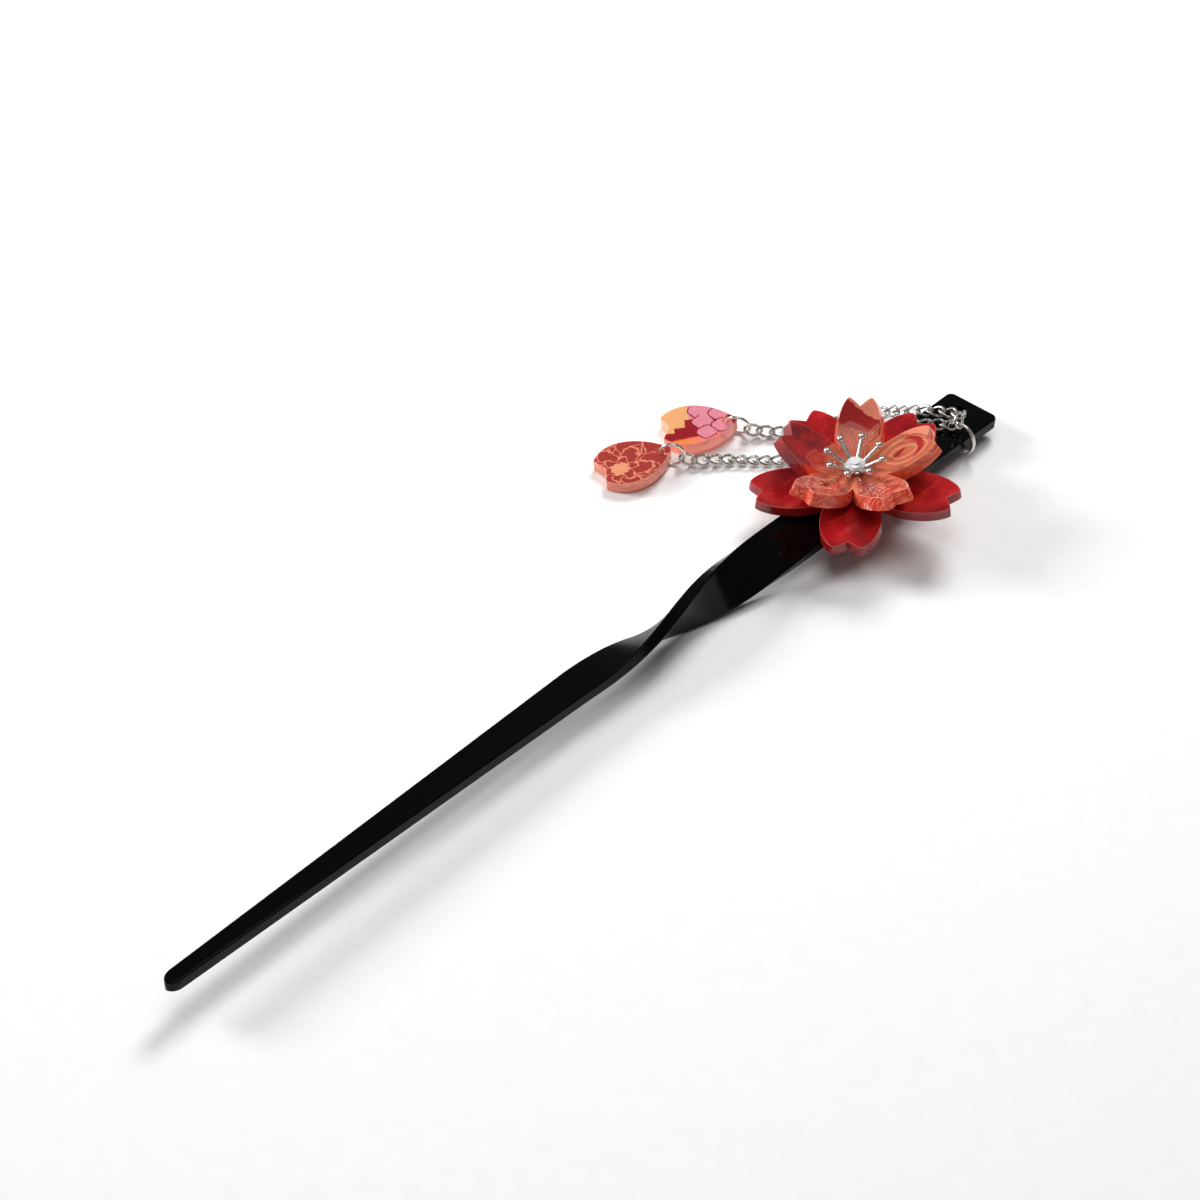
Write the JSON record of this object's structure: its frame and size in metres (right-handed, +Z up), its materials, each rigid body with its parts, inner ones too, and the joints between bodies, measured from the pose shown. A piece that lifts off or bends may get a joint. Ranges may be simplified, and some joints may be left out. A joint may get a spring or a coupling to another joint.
{
  "type": "kanzashi hair stick",
  "caption": "Flat twisted hair stick with a two-layer acrylic blossom, a stamen spray and petal drops hung on fine chains.",
  "frame": {"origin": "on the surface the hair stick lies on, below the middle of the whole thing as it lies", "axes": "+X towards the square head end, -X towards the rounded tip, +Y towards the side where the drops lie, +Z up"},
  "size_m": [0.175, 0.0557, 0.015],
  "materials": {
    "black_acrylic": "polished",
    "clear_glue": "satin",
    "red_acrylic": "polished",
    "coral_acrylic": "polished",
    "brick_acrylic": "polished",
    "silver": "polished",
    "silver_chain": "polished",
    "clear_stone": "cut and polished"
  },
  "bodies": {
    "root": {"stick": "black_acrylic", "glued_foot": "clear_glue", "lower_flower": "red_acrylic", "upper_flower": "coral_acrylic", "stamens": "silver", "centre_stone": "clear_stone", "head_ring": "silver", "chain_ring": "silver", "far_chain": "silver_chain", "near_chain": "silver_chain", "far_ring": "silver", "near_ring": "silver", "far_drop": "coral_acrylic", "near_drop": "brick_acrylic"}
  },
  "joints": []
}
